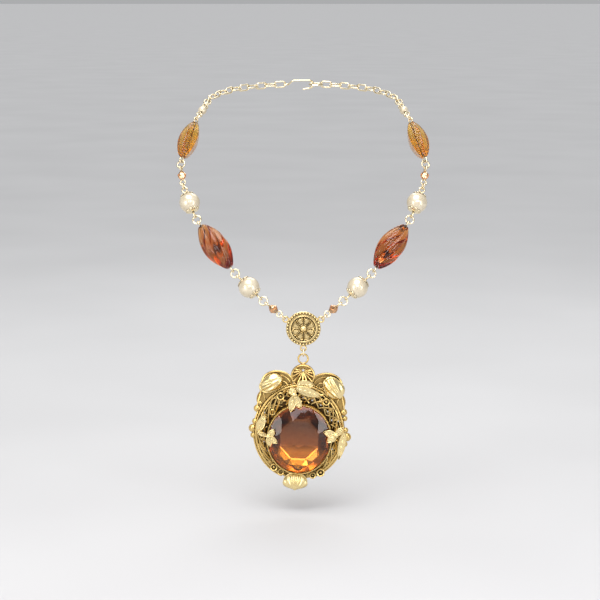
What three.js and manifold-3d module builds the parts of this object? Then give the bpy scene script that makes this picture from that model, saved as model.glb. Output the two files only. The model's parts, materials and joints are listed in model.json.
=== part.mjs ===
// Beaded pendant necklace, in the shape it takes when it is worn.
// Millimetres, +Z up, the front towards -Y, the wearer's neck along Z through the origin.
// Two arms of hinged links climb from the medallion and meet behind the neck in a hook and ring.
import * as THREE from 'three';
import { mergeVertices } from 'three/addons/utils/BufferGeometryUtils.js';
import Module from 'manifold-3d';

const wasm = await Module();
wasm.setup();

// ---- Wire findings ----
const PLAY = 0.12; // slack where two wires hook together
const LARGE_RING = { outer: 4.8, wire: 0.85 };
const SMALL_RING = { outer: 3.9, wire: 0.75 };
const EYE = { outer: 3.4, wire: 0.75 }; // the eye at each end of a bead's pin
const EAR = { outer: 3.4, wire: 0.8 }; // the three loops on the medallion
const PENDANT_RING = { outer: 4.2, wire: 0.8 };
const PENDANT_EYE = { outer: 5.5, wire: 0.9 };
const CLASP_RING = { outer: 8, wire: 1 };
const CHAIN_LINK = { length: 6.7, width: 4, wire: 0.8, bite: 0.2 }; // bite: how far links run into each other
const CHAIN_SLIP = (CHAIN_LINK.bite + PLAY) / 2; // keeps the chain's two end links clear of their rings
const BORE_RADIUS = 0.6; // through every bead

// ---- Beads: radius, length along the pin, and radius of the flat round each hole ----
const PEARL = { radius: 5, end: 0.95 };
const SMALL_PEARL = { radius: 2.15, end: 0.9 };
const ACCENT = { radius: 2.2, length: 4.2, end: 0.95 };
const FLUTED = { radius: 6.3, length: 25, end: 1.7, flutes: 5, depth: 0.12, turns: 0.3 };
const CRACKLE = { radius: 4.9, length: 20.5, end: 1.8, sides: 5, flatness: 0.09 };
const CAP = { radius: 3.1, thickness: 0.45, clearance: 0.12 };
const SMALL_CAP = { radius: 1.5, thickness: 0.35, clearance: 0.12 };

// ---- Medallion ----
const MEDALLION_CENTRE = new THREE.Vector3(0, -66, -92);
const MEDALLION_RADIUS = 8.25;
const EAR_CENTRE = 9.5; // from the medallion's centre
const EAR_ANGLE = 28; // degrees above level, for the two upper ears
const EAR_HEIGHT = 0.8; // ear wire's middle, in front of the flat back

// ---- Pendant, in its own face frame: x right, y up from the eye's middle, z to the front ----
const PENDANT_LEAN = 2.8; // degrees off plumb
const PLATE_THICKNESS = 1.2;
const RIM = { width: 1.5, height: 2.2 }; // raised band round the oval
const FRAME_OVAL = { x: 21.4, y: 23.2, middle: -35.6 };
const STONE_OVAL = { x: 15, y: 16.5, middle: -38.6 };
const TOP_LOBE = { y: -8.2, radius: 5.6 };
const SHOULDER = { x: 11.9, y: -14.2, radius: 7.7 };
const FLANK = { x: 16, y: -20.5, radius: 5.2 };
const BOTTOM_TAB = { y: -57, radius: 4.4 };
const SIDE_KNOBS = [[20.6, -25.2], [22.4, -35]];
const KNOB_RADIUS = 1.9;
const LATTICE_HOLES = 16;
const STONE_BASE = 1.5; // lowest point of the stone, in front of the flat back
const GIRDLE = 4.7;
const STONE_TOP = 7.4;
const BEZEL_TOP = 5.4;
const LEAF_LIFT = 6.4;
const BEZEL_WALL = 0.55;
const FIT = 0.15; // gap between parts that sit together
const LEAF_THICKNESS = 0.7;
const SHELL = { x: 4.5, y: 3.4, height: 3 };
const BUD = { x: 5.2, y: 3.4, height: 3.4 };

// ---- The way one arm hangs: points on the wearer's skin, and the way each one faces ----
const DRAPE = [
  [8.4, -66, -87.5], [26.5, -58.5, -73.2], [42.5, -50, -55.5], [55.3, -39, -35.5], [59.8, -28, -18],
  [54.5, -15.5, 0.5], [49.5, -3, 8.5], [46.5, 14, 13], [36, 31.5, 16], [19, 43, 17.5], [0, 47, 18],
];
const FACING = [
  [0, -1, 0], [0.1, -1, 0.2], [0.2, -1, 0.35], [0.3, -1, 0.45], [0.45, -0.9, 0.5],
  [0.7, -0.7, 0.5], [0.95, -0.3, 0.4], [0.95, 0.3, 0.3], [0.7, 0.7, 0.2], [0.35, 0.95, 0.1], [0, 1, 0.1],
];
const BACK_LINKS = 12; // on each side; an even number leaves the last link lying flat

const GOLD = { color: 0xc9a45c, roughness: 0.35, metalness: 1 };
const PALE_GOLD = { color: 0xd9c48f, roughness: 0.3, metalness: 1 };
const ANTIQUE_GOLD = { color: 0xa8843c, roughness: 0.45, metalness: 1 };
const NACRE = { color: 0xcdbfa0, roughness: 0.25, metalness: 0 };
const TOPAZ = { color: 0x8a3d12, roughness: 0.05, metalness: 0 };
const AMBER = { color: 0xc47a12, roughness: 0.15, metalness: 0 };

// ---- Solids ----

function asSolid(geometry) {
  const bare = geometry.clone();
  bare.deleteAttribute('normal');
  bare.deleteAttribute('uv');
  const merged = mergeVertices(bare, 1e-4);
  return new wasm.Manifold(new wasm.Mesh({
    numProp: 3,
    vertProperties: new Float32Array(merged.attributes.position.array),
    triVerts: new Uint32Array(merged.index.array),
  }));
}

function asGeometry(solid) {
  const mesh = solid.getMesh();
  const geometry = new THREE.BufferGeometry();
  geometry.setAttribute('position', new THREE.BufferAttribute(mesh.vertProperties, 3));
  geometry.setIndex(new THREE.BufferAttribute(mesh.triVerts, 1));
  geometry.computeVertexNormals();
  return geometry;
}

function joined(geometries) {
  const solids = geometries.map(asSolid);
  return asGeometry(solids.reduce((whole, solid) => whole.add(solid)));
}

function material(look) {
  return new THREE.MeshStandardMaterial(look);
}

function part(name, geometry, look) {
  const mesh = new THREE.Mesh(geometry, material(look));
  mesh.name = name;
  return mesh;
}

// A ring of round wire in the XY plane, or in the YZ plane when it stands on edge
function wireLoop(size, plane, segments = 12) {
  const radius = size.wire / 2;
  const loop = new THREE.TorusGeometry(size.outer / 2 - radius, radius, 5, segments);
  if (plane === 'edge') loop.rotateY(Math.PI / 2);
  return loop;
}

// The same ring drawn out along Y into a link with straight sides
function ovalLoop({ length, width, wire }, plane) {
  const loop = wireLoop({ outer: width, wire }, plane, 8);
  const place = loop.attributes.position;
  for (let i = 0; i < place.count; i++) {
    const y = place.getY(i);
    if (Math.abs(y) > 1e-6) place.setY(i, y + Math.sign(y) * (length - width) / 2);
  }
  return loop;
}

function rod(radius, from, to, sides = 6) {
  const shaft = new THREE.CylinderGeometry(radius, radius, to - from, sides);
  return shaft.translate(0, (from + to) / 2, 0);
}

// A closed bead on the Y axis. The profile runs up the outside as [radius, y] pairs,
// and section(turn, y) scales the radius round the bead.
function threadedBead(profile, around, section = () => 1) {
  const bottom = profile[0][1];
  const top = profile[profile.length - 1][1];
  const rows = [...profile.map(([radius, y]) => [radius, y, section]),
    [BORE_RADIUS, top, () => 1], [BORE_RADIUS, bottom, () => 1]];
  const positions = [];
  const faces = [];
  rows.forEach(([radius, y, shape], row) => {
    const nextRow = (row + 1) % rows.length;
    for (let i = 0; i < around; i++) {
      const turn = i / around;
      const angle = turn * 2 * Math.PI;
      const reach = radius * shape(turn, y);
      positions.push(reach * Math.cos(angle), y, reach * Math.sin(angle));
      const next = (i + 1) % around;
      const [a, b] = [row * around + i, nextRow * around + i];
      const [c, d] = [nextRow * around + next, row * around + next];
      faces.push(a, b, c, a, c, d);
    }
  });
  const bead = new THREE.BufferGeometry();
  bead.setAttribute('position', new THREE.Float32BufferAttribute(positions, 3));
  bead.setIndex(faces);
  bead.computeVertexNormals();
  return bead;
}

function roundProfile(radius, end, rows) {
  const last = Math.acos(end / radius);
  return Array.from({ length: rows + 1 }, (_, i) => {
    const angle = last * (2 * i / rows - 1);
    return [radius * Math.cos(angle), radius * Math.sin(angle)];
  });
}

function barrelProfile({ radius, length, end }, rows, fullness) {
  return Array.from({ length: rows + 1 }, (_, i) => {
    const swell = Math.sin(Math.PI * i / rows) ** fullness;
    return [end + (radius - end) * swell, length * (i / rows - 0.5)];
  });
}

const BEADS = {
  pearl: {
    look: NACRE,
    length: 2 * (PEARL.radius + CAP.clearance + CAP.thickness),
    geometry: () => threadedBead(roundProfile(PEARL.radius, PEARL.end, 6), 12),
    caps: { ...CAP, bead: PEARL.radius, both: true },
  },
  small_pearl: {
    look: NACRE,
    length: 2 * (SMALL_PEARL.radius + SMALL_CAP.clearance + SMALL_CAP.thickness),
    geometry: () => threadedBead(roundProfile(SMALL_PEARL.radius, SMALL_PEARL.end, 4), 8),
    caps: { ...SMALL_CAP, bead: SMALL_PEARL.radius, both: false },
  },
  accent_bead: {
    look: TOPAZ,
    length: ACCENT.length,
    geometry: () => threadedBead(barrelProfile(ACCENT, 2, 1), 8),
  },
  fluted_bead: {
    look: TOPAZ,
    length: FLUTED.length,
    geometry: () => threadedBead(barrelProfile(FLUTED, 6, 0.8), 20, (turn, y) => {
      const twist = turn + FLUTED.turns * y / FLUTED.length;
      return 1 - FLUTED.depth * (0.5 - 0.5 * Math.cos(2 * Math.PI * FLUTED.flutes * twist));
    }),
  },
  crackle_bead: {
    look: AMBER,
    length: CRACKLE.length,
    geometry: () => threadedBead(barrelProfile(CRACKLE, 6, 0.7), 10, (turn) => {
      return 1 - CRACKLE.flatness * (0.5 - 0.5 * Math.cos(2 * Math.PI * CRACKLE.sides * turn));
    }),
  },
};

// A shallow cup that fits over a round bead's end, round the Y axis
function beadCap({ radius, thickness, clearance, bead }) {
  const inner = bead + clearance;
  const outer = inner + thickness;
  const edge = Math.asin(radius / inner);
  const onArc = (size, share) => {
    return new THREE.Vector2(size * Math.sin(edge * share), size * Math.cos(edge * share));
  };
  const profile = [0, 0.5, 1].map((share) => onArc(inner, share));
  profile.push(...[1, 0.5, 0].map((share) => onArc(outer, share)));
  return new THREE.LatheGeometry(profile, 8);
}

// ---- Links: each starts at its lower contact point and runs along +Y ----

function reachOf(size) {
  return size.outer / 2 - size.wire - PLAY / 2; // from a loop's middle to its contact point
}

function ringLink(name, size, plane) {
  const pitch = 2 * reachOf(size);
  const build = () => [part(name, wireLoop(size, plane).translate(0, pitch / 2, 0), PALE_GOLD)];
  return { pitch, build };
}

function beadLink(name, kind, lowerPlane, upperPlane) {
  const bead = BEADS[kind];
  const span = bead.length + EYE.outer + 0.05;
  const reach = reachOf(EYE);
  const pitch = span + 2 * reach;
  const centreLine = EYE.outer / 2 - EYE.wire / 2;
  const build = () => {
    const pieces = [
      wireLoop(EYE, lowerPlane).translate(0, reach, 0),
      wireLoop(EYE, upperPlane).translate(0, pitch - reach, 0),
      rod(EYE.wire / 2, reach + centreLine - 0.1, pitch - reach - centreLine + 0.1),
    ];
    if (bead.caps) {
      pieces.push(beadCap(bead.caps).translate(0, pitch / 2, 0));
      if (bead.caps.both) pieces.push(beadCap(bead.caps).rotateX(Math.PI).translate(0, pitch / 2, 0));
    }
    return [
      part(`${name}_pin`, joined(pieces), GOLD),
      part(name, bead.geometry().translate(0, pitch / 2, 0), bead.look),
    ];
  };
  return { pitch, build };
}

function armLinks(side) {
  return [
    ringLink(`${side}_small_ring_1`, SMALL_RING, 'edge'),
    beadLink(`${side}_accent_bead_1`, 'accent_bead', 'face', 'edge'),
    ringLink(`${side}_ring_1`, LARGE_RING, 'face'),
    beadLink(`${side}_pearl_1`, 'pearl', 'edge', 'edge'),
    ringLink(`${side}_ring_2`, LARGE_RING, 'face'),
    beadLink(`${side}_fluted_bead`, 'fluted_bead', 'edge', 'edge'),
    ringLink(`${side}_ring_3`, LARGE_RING, 'face'),
    beadLink(`${side}_pearl_2`, 'pearl', 'edge', 'face'),
    ringLink(`${side}_small_ring_2`, SMALL_RING, 'edge'),
    beadLink(`${side}_accent_bead_2`, 'accent_bead', 'face', 'edge'),
    ringLink(`${side}_ring_4`, LARGE_RING, 'face'),
    beadLink(`${side}_crackle_bead`, 'crackle_bead', 'edge', 'edge'),
    ringLink(`${side}_ring_5`, LARGE_RING, 'face'),
    beadLink(`${side}_small_pearl`, 'small_pearl', 'edge', 'edge'),
    ringLink(`${side}_ring_6`, LARGE_RING, 'face'),
  ];
}

// ---- Drape: walks up one arm's curve, giving each link its place ----

function linkFrame(start, end, facing) {
  const along = end.clone().sub(start).normalize();
  const across = along.clone().cross(facing).normalize();
  const outward = across.clone().cross(along);
  return new THREE.Matrix4().makeBasis(across, along, outward).setPosition(start);
}

function armWalk(side) {
  const mirror = side === 'left' ? -1 : 1;
  const curveThrough = (points) => {
    return new THREE.CatmullRomCurve3(points.map(([x, y, z]) => new THREE.Vector3(mirror * x, y, z)));
  };
  const route = curveThrough(DRAPE);
  const facing = curveThrough(FACING);
  const ear = earCentre(side);
  let direction = route.getPoint(0.02).sub(ear).setY(0).normalize();
  let start = ear.addScaledVector(direction, reachOf(EAR));
  let place = 0;
  // Steps on by one link's pitch, after slipping back by the given amount
  return (pitch, slip = 0) => {
    start = start.clone().addScaledVector(direction, -slip);
    let [low, high] = [place, 1];
    for (let i = 0; i < 40; i++) {
      const middle = (low + high) / 2;
      if (route.getPoint(middle).distanceTo(start) < pitch) low = middle;
      else high = middle;
    }
    direction = route.getPoint(high).sub(start).normalize();
    const end = start.clone().addScaledVector(direction, pitch);
    const frame = linkFrame(start, end, facing.getPoint((place + high) / 2));
    [start, place] = [end, high];
    return { frame, end };
  };
}

function placed(parts, frame) {
  const group = new THREE.Group();
  group.add(...parts);
  group.applyMatrix4(frame);
  return group;
}

// Oval links of the plain chain behind the neck, each one touching the next
function backChain(side, walk) {
  const pitch = CHAIN_LINK.length - 2 * CHAIN_LINK.wire + CHAIN_LINK.bite;
  const links = [];
  let [first, last] = [null, null];
  for (let i = 0; i < BACK_LINKS; i++) {
    last = walk(pitch, i === 0 ? CHAIN_SLIP : 0);
    first ??= last;
    const link = ovalLoop(CHAIN_LINK, i % 2 === 0 ? 'edge' : 'face').translate(0, pitch / 2, 0);
    link.applyMatrix4(last.frame).applyMatrix4(first.frame.clone().invert());
    links.push(link);
  }
  const chain = part(`${side}_back_chain`, joined(links), PALE_GOLD);
  const before = new THREE.Vector3().setFromMatrixPosition(last.frame);
  return { group: placed([chain], first.frame), end: last.end, before };
}

// The hook's bend goes round the clasp ring's wire, with clearance all round it
function claspHook(chain, ringWire, facing) {
  const start = chain.end.clone().lerp(chain.before, CHAIN_SLIP / chain.end.distanceTo(chain.before));
  const reach = ringWire.distanceTo(start);
  const bend = 2.1;
  const radius = 0.5;
  const eyeTop = reachOf(EYE) + EYE.outer / 2 - EYE.wire / 2;
  const path = new THREE.CurvePath();
  const at = (x, y) => new THREE.Vector3(x, y, 0);
  path.add(new THREE.LineCurve3(at(0, eyeTop - 0.2), at(bend, eyeTop + 2.2)));
  path.add(new THREE.LineCurve3(at(bend, eyeTop + 2.2), at(bend, reach)));
  const around = [1, 0.5, 0, -0.5, -1].map((share) => {
    const angle = Math.PI / 2 * share;
    return at(bend * Math.sin(angle), reach + bend * Math.cos(angle));
  });
  path.add(new THREE.CatmullRomCurve3(around));
  path.add(new THREE.LineCurve3(at(-bend, reach), at(-bend - 0.5, reach - 3.5)));
  const section = new THREE.Shape(new THREE.EllipseCurve(0, 0, radius, radius).getPoints(6).slice(0, 6));
  const hook = new THREE.ExtrudeGeometry(section, { steps: 18, extrudePath: path });
  const eye = wireLoop(EYE, 'edge').translate(0, reachOf(EYE), 0);
  return placed([part('clasp_hook', joined([hook, eye]), PALE_GOLD)], linkFrame(start, ringWire, facing));
}

function claspRing(walk) {
  const pitch = 2 * reachOf(CLASP_RING);
  const { frame } = walk(pitch, CHAIN_SLIP);
  const ring = part('clasp_ring', wireLoop(CLASP_RING, 'edge', 16).translate(0, pitch / 2, 0), PALE_GOLD);
  const farWire = new THREE.Vector3(0, pitch / 2 + CLASP_RING.outer / 2 - CLASP_RING.wire / 2, 0);
  return { group: placed([ring], frame), farWire: farWire.applyMatrix4(frame) };
}

function arm(side) {
  const walk = armWalk(side);
  const groups = armLinks(side).map(({ pitch, build }) => placed(build(), walk(pitch).frame));
  const chain = backChain(side, walk);
  return { groups: [...groups, chain.group], chain, walk };
}

// ---- Medallion ----

function earCentre(side) {
  const angle = THREE.MathUtils.degToRad(side === 'left' ? 180 - EAR_ANGLE : EAR_ANGLE);
  const offset = new THREE.Vector3(Math.cos(angle), 0, Math.sin(angle)).multiplyScalar(EAR_CENTRE);
  return MEDALLION_CENTRE.clone().add(offset);
}

function medallion() {
  const rim = MEDALLION_RADIUS;
  const profile = [
    [0, 0], [rim - 0.3, 0], [rim, 0.6], [rim, 1.1], [rim - 0.6, 1.7], [rim - 1.3, 1.3],
    [rim - 1.8, 1.9], [rim - 2.7, 1.5], [rim / 3, 2.5], [0, 2.8],
  ].map(([radius, height]) => new THREE.Vector2(radius, height));
  const disc = new THREE.LatheGeometry(profile, 20).rotateX(Math.PI / 2);
  const ears = [EAR_ANGLE, 180 - EAR_ANGLE, 270].map((degrees) => {
    const turn = THREE.MathUtils.degToRad(degrees);
    return wireLoop(EAR, 'face', 16).translate(EAR_CENTRE, 0, EAR_HEIGHT).rotateZ(turn);
  });
  const mesh = part('medallion', joined([disc, ...ears]), ANTIQUE_GOLD);
  mesh.rotation.x = Math.PI / 2;
  mesh.position.copy(MEDALLION_CENTRE).y += EAR_HEIGHT;
  return mesh;
}

// ---- Pendant ----

function ovalPoint({ x, y, middle }, angle, grow = 0) {
  return new THREE.Vector2((x + grow) * Math.cos(angle), middle + (y + grow) * Math.sin(angle));
}

function ovalOutline(oval, grow, segments = 24) {
  return Array.from({ length: segments }, (_, i) => ovalPoint(oval, 2 * Math.PI * i / segments, grow));
}

function slab(outline, holes, depth) {
  const shape = new THREE.Shape(outline);
  shape.holes = holes.map((hole) => new THREE.Path(hole));
  return new THREE.ExtrudeGeometry(shape, { depth, bevelEnabled: false });
}

function roundOutline(x, y, radius, segments = 12) {
  return ovalOutline({ x: radius, y: radius, middle: 0 }, 0, segments).map((p) => p.add({ x, y }));
}

// Openwork between the stone and the rim: one hole for each step round the oval
function latticeHoles() {
  return Array.from({ length: LATTICE_HOLES }, (_, i) => {
    const angle = 2 * Math.PI * (i + 0.5) / LATTICE_HOLES;
    const inner = ovalPoint(STONE_OVAL, angle, 0.8);
    const outer = ovalPoint(FRAME_OVAL, angle, -1.8);
    const radius = Math.min(2.1, 0.34 * inner.distanceTo(outer));
    const middle = inner.lerp(outer, 0.5);
    return roundOutline(middle.x, middle.y, radius, 6);
  }).filter((hole) => hole[0].distanceTo(hole[3]) > 1.2);
}

function rimBand() {
  const outer = ovalOutline(FRAME_OVAL, 0);
  const inner = ovalOutline(FRAME_OVAL, -RIM.width);
  return slab(outer, [inner], RIM.height);
}

function pendantFrame() {
  const mirrored = [-1, 1];
  const pieces = [
    slab(ovalOutline(FRAME_OVAL, -0.2), [ovalOutline(STONE_OVAL, -1.5), ...latticeHoles()], PLATE_THICKNESS),
    rimBand(),
    slab(roundOutline(0, TOP_LOBE.y, TOP_LOBE.radius), [], PLATE_THICKNESS),
    slab(roundOutline(0, BOTTOM_TAB.y, BOTTOM_TAB.radius), [], PLATE_THICKNESS),
    wireLoop(PENDANT_EYE, 'face').translate(0, 0, PLATE_THICKNESS / 2),
  ];
  for (const side of mirrored) {
    pieces.push(slab(roundOutline(side * SHOULDER.x, SHOULDER.y, SHOULDER.radius), [], PLATE_THICKNESS));
    pieces.push(slab(roundOutline(side * FLANK.x, FLANK.y, FLANK.radius), [], PLATE_THICKNESS));
    for (const [x, y] of SIDE_KNOBS) {
      pieces.push(slab(roundOutline(side * x, y, KNOB_RADIUS, 8), [], 2));
    }
  }
  const whole = pieces.map(asSolid).reduce((sum, solid) => sum.add(solid));
  const opening = asSolid(slab(ovalOutline(STONE_OVAL, -1.5), [], 6).translate(0, 0, -2));
  return part('pendant_frame', asGeometry(whole.subtract(opening)), ANTIQUE_GOLD);
}

// Turns a [share of the oval, height] profile round the stone's oval
function ovalTurning(profile, segments) {
  const points = profile.map(([share, height]) => new THREE.Vector2(share, height));
  const turned = new THREE.LatheGeometry(points, segments).rotateX(Math.PI / 2);
  return turned.scale(STONE_OVAL.x, STONE_OVAL.y, 1).translate(0, STONE_OVAL.middle, 0);
}

function stoneBezel() {
  const base = PLATE_THICKNESS + FIT;
  const wall = BEZEL_WALL / STONE_OVAL.x;
  const inner = 1 + FIT / STONE_OVAL.x;
  const profile = [
    [inner - 0.1, base], [inner + wall, base], [inner + wall, BEZEL_TOP],
    [inner, BEZEL_TOP], [inner, base + 0.6], [inner - 0.1, base + 0.6], [inner - 0.1, base],
  ];
  return part('stone_bezel', ovalTurning(profile, 24), GOLD);
}

function centreStone() {
  const profile = [
    [0, STONE_BASE], [0.3, STONE_BASE], [0.82, GIRDLE - 1.2], [1, GIRDLE],
    [1, GIRDLE + 0.3], [0.66, STONE_TOP], [0, STONE_TOP],
  ];
  return part('centre_stone', ovalTurning(profile, 16), TOPAZ);
}

// A leaf with a point at each end, starting at (x, y) and running towards the heading
function leaf(x, y, heading, length, width) {
  const half = width / 2;
  const outline = [[0, 0], [0.25, 0.75], [0.5, 1], [0.75, 0.7], [1, 0], [0.75, -0.7], [0.5, -1], [0.25, -0.75]];
  const points = outline.map(([along, across]) => new THREE.Vector2(along * length, across * half));
  const blade = new THREE.ExtrudeGeometry(new THREE.Shape(points), { depth: LEAF_THICKNESS, bevelEnabled: false });
  return blade.rotateZ(THREE.MathUtils.degToRad(heading)).translate(x, y, 0);
}

// Leaves meeting at one point, on a post that stands on the openwork
function spray(name, leaves, post) {
  const bottom = PLATE_THICKNESS + FIT;
  const pieces = leaves.map(([x, y, heading, length, width]) => leaf(x, y, heading, length, width));
  const pillar = rod(0.7, bottom - LEAF_LIFT, LEAF_THICKNESS).rotateX(Math.PI / 2).translate(post[0], post[1], 0);
  const mesh = part(name, joined([...pieces, pillar]), GOLD);
  mesh.position.z = LEAF_LIFT;
  return mesh;
}

function shell(name, x, y, size, turn, seat) {
  const arc = [0, 0.35, 0.7, 1].map((share) => {
    const angle = Math.PI / 2 * share;
    return new THREE.Vector2(Math.cos(angle), Math.sin(angle));
  });
  arc[3].x = 0;
  const dome = new THREE.LatheGeometry([new THREE.Vector2(0, 0), ...arc], 12).rotateX(Math.PI / 2);
  dome.scale(size.x, size.y, size.height).rotateZ(THREE.MathUtils.degToRad(turn));
  const mesh = part(name, dome, PALE_GOLD);
  mesh.position.set(x, y, seat + FIT);
  return mesh;
}

function pendant() {
  const onPlate = new THREE.Group();
  onPlate.add(
    pendantFrame(),
    stoneBezel(),
    centreStone(),
    spray('top_leaf_spray', [
      [-2.5, -17.5, 205, 4.6, 3.2], [-2.5, -17.5, 255, 6.6, 3.4], [-2.5, -17.5, 300, 6.4, 3.4],
      [-2.5, -17.5, 15, 11.5, 4.2],
    ], [-2.5, -17.6]),
    spray('left_leaf_spray', [
      [-17.6, -36.5, 20, 6.2, 3.2], [-17.6, -36.5, -35, 6.6, 3.2], [-17.6, -36.5, 100, 9, 3.4],
    ], [-17.6, -36.7]),
    spray('right_leaf_spray', [
      [18.4, -35, 165, 6.2, 3.2], [18.4, -35, 215, 6.2, 3.2], [18.4, -35, 285, 10.5, 3.2],
    ], [18.4, -35]),
    shell('left_shell', -14.2, -11.4, SHELL, 30, PLATE_THICKNESS),
    shell('right_shell', 15.4, -11.8, SHELL, -38, PLATE_THICKNESS),
    shell('bottom_shell', -0.5, -59.6, BUD, 0, RIM.height),
  );
  onPlate.position.set(0, -reachOf(PENDANT_EYE), -PLATE_THICKNESS / 2);
  const leaning = new THREE.Group();
  leaning.add(onPlate);
  leaning.rotation.z = THREE.MathUtils.degToRad(-PENDANT_LEAN);
  return leaning;
}

// The jump ring and the pendant, hung from the medallion's lowest ear
function hangingPendant() {
  const earBottom = MEDALLION_CENTRE.z - EAR_CENTRE - reachOf(EAR);
  const pitch = 2 * reachOf(PENDANT_RING);
  const ring = part('pendant_jump_ring', wireLoop(PENDANT_RING, 'edge'), PALE_GOLD);
  ring.position.set(0, MEDALLION_CENTRE.y, earBottom - pitch / 2);
  const face = new THREE.Group();
  face.add(pendant());
  face.rotation.x = Math.PI / 2;
  face.position.set(0, MEDALLION_CENTRE.y, earBottom - pitch);
  return [ring, face];
}

// ---- Necklace ----

const necklace = new THREE.Group();
const left = arm('left');
const right = arm('right');
const ring = claspRing(right.walk);
const nape = new THREE.Vector3(...FACING[FACING.length - 1]);
necklace.add(medallion(), ...hangingPendant(), ...left.groups, ...right.groups, ring.group);
necklace.add(claspHook(left.chain, ring.farWire, nape));

export default necklace;
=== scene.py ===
"""Looks for a beaded pendant necklace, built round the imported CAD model."""

from bisect import bisect_left
import json
from math import acos, asin, copysign, cos, exp, hypot, log, pi, radians, sin, sqrt, tan
import random

import bpy
from mathutils import Matrix, Vector


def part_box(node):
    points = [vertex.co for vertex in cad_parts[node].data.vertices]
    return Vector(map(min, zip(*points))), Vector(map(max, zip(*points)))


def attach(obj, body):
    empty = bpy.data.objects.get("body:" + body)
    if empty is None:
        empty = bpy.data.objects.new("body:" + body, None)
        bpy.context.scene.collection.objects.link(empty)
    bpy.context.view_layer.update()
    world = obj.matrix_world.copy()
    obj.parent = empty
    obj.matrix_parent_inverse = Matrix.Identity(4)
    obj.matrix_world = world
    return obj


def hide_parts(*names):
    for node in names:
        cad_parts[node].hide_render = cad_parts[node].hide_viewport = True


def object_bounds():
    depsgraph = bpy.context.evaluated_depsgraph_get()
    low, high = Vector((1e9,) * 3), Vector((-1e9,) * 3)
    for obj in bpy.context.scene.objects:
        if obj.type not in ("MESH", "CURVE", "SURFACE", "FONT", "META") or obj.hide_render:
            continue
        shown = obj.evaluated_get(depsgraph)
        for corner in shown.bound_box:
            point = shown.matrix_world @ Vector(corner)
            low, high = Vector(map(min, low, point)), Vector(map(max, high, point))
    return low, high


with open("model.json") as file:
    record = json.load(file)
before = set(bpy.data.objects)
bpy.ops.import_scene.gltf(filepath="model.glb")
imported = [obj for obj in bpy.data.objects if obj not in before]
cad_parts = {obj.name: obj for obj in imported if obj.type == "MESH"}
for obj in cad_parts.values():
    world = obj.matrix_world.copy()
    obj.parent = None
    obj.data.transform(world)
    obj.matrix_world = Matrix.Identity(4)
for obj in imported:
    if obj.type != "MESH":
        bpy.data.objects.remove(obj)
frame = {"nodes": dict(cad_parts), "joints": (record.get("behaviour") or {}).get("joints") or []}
cad_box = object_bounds()
chance = random.Random(7)

MM = 0.001  # sizes and places are in millimetres until a piece is made; materials are in metres

# ---- Wire findings, as in the CAD model ----
PLAY = 0.12
LARGE_RING = {"outer": 4.8, "wire": 0.85}
SMALL_RING = {"outer": 3.9, "wire": 0.75}
EYE = {"outer": 3.4, "wire": 0.75}
EAR = {"outer": 3.4, "wire": 0.8}
PENDANT_RING = {"outer": 4.2, "wire": 0.8}
PENDANT_EYE = {"outer": 5.5, "wire": 0.9}
CHAIN_LINK = {"width": 4.0, "wire": 0.8}
BACK_LINKS = 12

# ---- Beads. end is the radius at a bead's ends ----
BORE = 0.62
PEARL = 5.0
SMALL_PEARL = 2.15
ACCENT = {"radius": 2.2, "length": 4.2, "end": 0.95}
FLUTED = {"radius": 6.3, "length": 25.0, "end": 1.7, "flutes": 7, "depth": 0.2, "turns": 0.2}
CRACKLE = {"radius": 5.2, "length": 20.5, "end": 1.5, "sides": 5, "rib": 0.012, "rib_pitch": 1.05}
GLASS_BEADS = {"accent_bead_1": ACCENT, "accent_bead_2": ACCENT, "fluted_bead": FLUTED,
               "crackle_bead": CRACKLE}

# ---- One arm, from the medallion up: body, bead, wire, and the plane of its lower and upper loop ----
ARM = [
    ("small_ring_1", "ring", SMALL_RING, "edge", "edge"),
    ("accent_link_1", "accent_bead_1", EYE, "face", "edge"),
    ("ring_1", "ring", LARGE_RING, "face", "face"),
    ("pearl_link_1", "pearl_1", EYE, "edge", "edge"),
    ("ring_2", "ring", LARGE_RING, "face", "face"),
    ("fluted_link", "fluted_bead", EYE, "edge", "edge"),
    ("ring_3", "ring", LARGE_RING, "face", "face"),
    ("pearl_link_2", "pearl_2", EYE, "edge", "face"),
    ("small_ring_2", "ring", SMALL_RING, "edge", "edge"),
    ("accent_link_2", "accent_bead_2", EYE, "face", "edge"),
    ("ring_4", "ring", LARGE_RING, "face", "face"),
    ("crackle_link", "crackle_bead", EYE, "edge", "edge"),
    ("ring_5", "ring", LARGE_RING, "face", "face"),
    ("small_pearl_link", "small_pearl", EYE, "edge", "edge"),
    ("ring_6", "ring", LARGE_RING, "face", "face"),
]
# Points on the right side's curve round the nape: one below the back chain's start, the others past it
NAPE_ROUTE = [(49.5, -3, 8.5), (46.5, 14, 13), (36, 31.5, 16), (19, 43, 17.5)]

MEDALLION_MIDDLE = -92

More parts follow.
